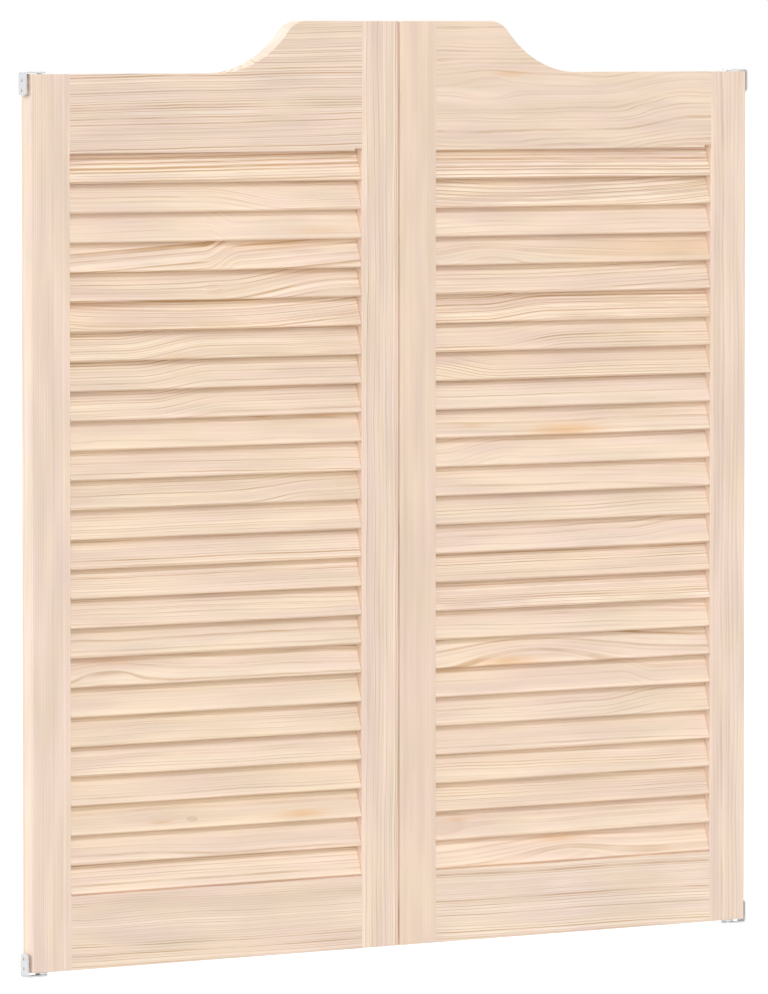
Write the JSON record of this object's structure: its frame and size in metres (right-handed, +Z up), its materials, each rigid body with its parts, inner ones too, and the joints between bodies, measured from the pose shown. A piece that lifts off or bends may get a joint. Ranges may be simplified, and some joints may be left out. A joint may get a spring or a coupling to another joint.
{
  "type": "cafe swinging doors",
  "caption": "Pair of waist-to-head-height pine cafe doors with raked louvre slats and an ogee top, hung on pivot brackets so that both leaves swing to the front and back.",
  "frame": {"origin": "midway between the two leaves, in the middle of their thickness, level with the underside of the bottom brackets", "axes": "+X to the right seen from the front, +Y through the leaves from front to back, +Z up"},
  "size_m": [1.0312, 0.021, 1.0746],
  "materials": {
    "pine_frame": "sanded bare pine, matt",
    "pine_slat": "sanded bare pine, matt",
    "zinc_steel": "bright zinc plate, satin"
  },
  "bodies": {
    "brackets": {"left_bottom_bracket": "zinc_steel", "left_top_bracket": "zinc_steel", "right_bottom_bracket": "zinc_steel", "right_top_bracket": "zinc_steel"},
    "left_leaf": {"left_hinge_stile": "pine_frame", "left_meeting_stile": "pine_frame", "left_top_rail": "pine_frame", "left_bottom_rail": "pine_frame", "left_slat_02": "pine_slat", "left_slat_03": "pine_slat", "left_slat_04": "pine_slat", "left_slat_05": "pine_slat", "left_slat_06": "pine_slat", "left_slat_07": "pine_slat", "left_slat_08": "pine_slat", "left_slat_09": "pine_slat", "left_slat_10": "pine_slat", "left_slat_11": "pine_slat", "left_slat_12": "pine_slat", "left_slat_13": "pine_slat", "left_slat_14": "pine_slat", "left_slat_15": "pine_slat", "left_slat_16": "pine_slat", "left_slat_17": "pine_slat", "left_slat_18": "pine_slat", "left_slat_19": "pine_slat", "left_slat_20": "pine_slat", "left_slat_21": "pine_slat", "left_slat_22": "pine_slat", "left_slat_23": "pine_slat", "left_slat_24": "pine_slat", "left_spring_pivot": "zinc_steel"},
    "right_leaf": {"right_hinge_stile": "pine_frame", "right_meeting_stile": "pine_frame", "right_top_rail": "pine_frame", "right_bottom_rail": "pine_frame", "right_slat_02": "pine_slat", "right_slat_03": "pine_slat", "right_slat_04": "pine_slat", "right_slat_05": "pine_slat", "right_slat_06": "pine_slat", "right_slat_07": "pine_slat", "right_slat_08": "pine_slat", "right_slat_09": "pine_slat", "right_slat_10": "pine_slat", "right_slat_11": "pine_slat", "right_slat_12": "pine_slat", "right_slat_13": "pine_slat", "right_slat_14": "pine_slat", "right_slat_15": "pine_slat", "right_slat_16": "pine_slat", "right_slat_17": "pine_slat", "right_slat_18": "pine_slat", "right_slat_19": "pine_slat", "right_slat_20": "pine_slat", "right_slat_21": "pine_slat", "right_slat_22": "pine_slat", "right_slat_23": "pine_slat", "right_slat_24": "pine_slat", "right_spring_pivot": "zinc_steel"}
  },
  "joints": [
    {"name": "left_swing", "type": "hinge", "parent": "brackets", "child": "left_leaf", "pos_m": [-0.492, 0, 0], "axis": [0, 0, 1], "range_deg": [-90, 90], "stiffness_Nm_per_rad": 2.5},
    {"name": "right_swing", "type": "hinge", "parent": "brackets", "child": "right_leaf", "pos_m": [0.492, 0, 0], "axis": [0, 0, 1], "range_deg": [-90, 90], "stiffness_Nm_per_rad": 2.5}
  ]
}
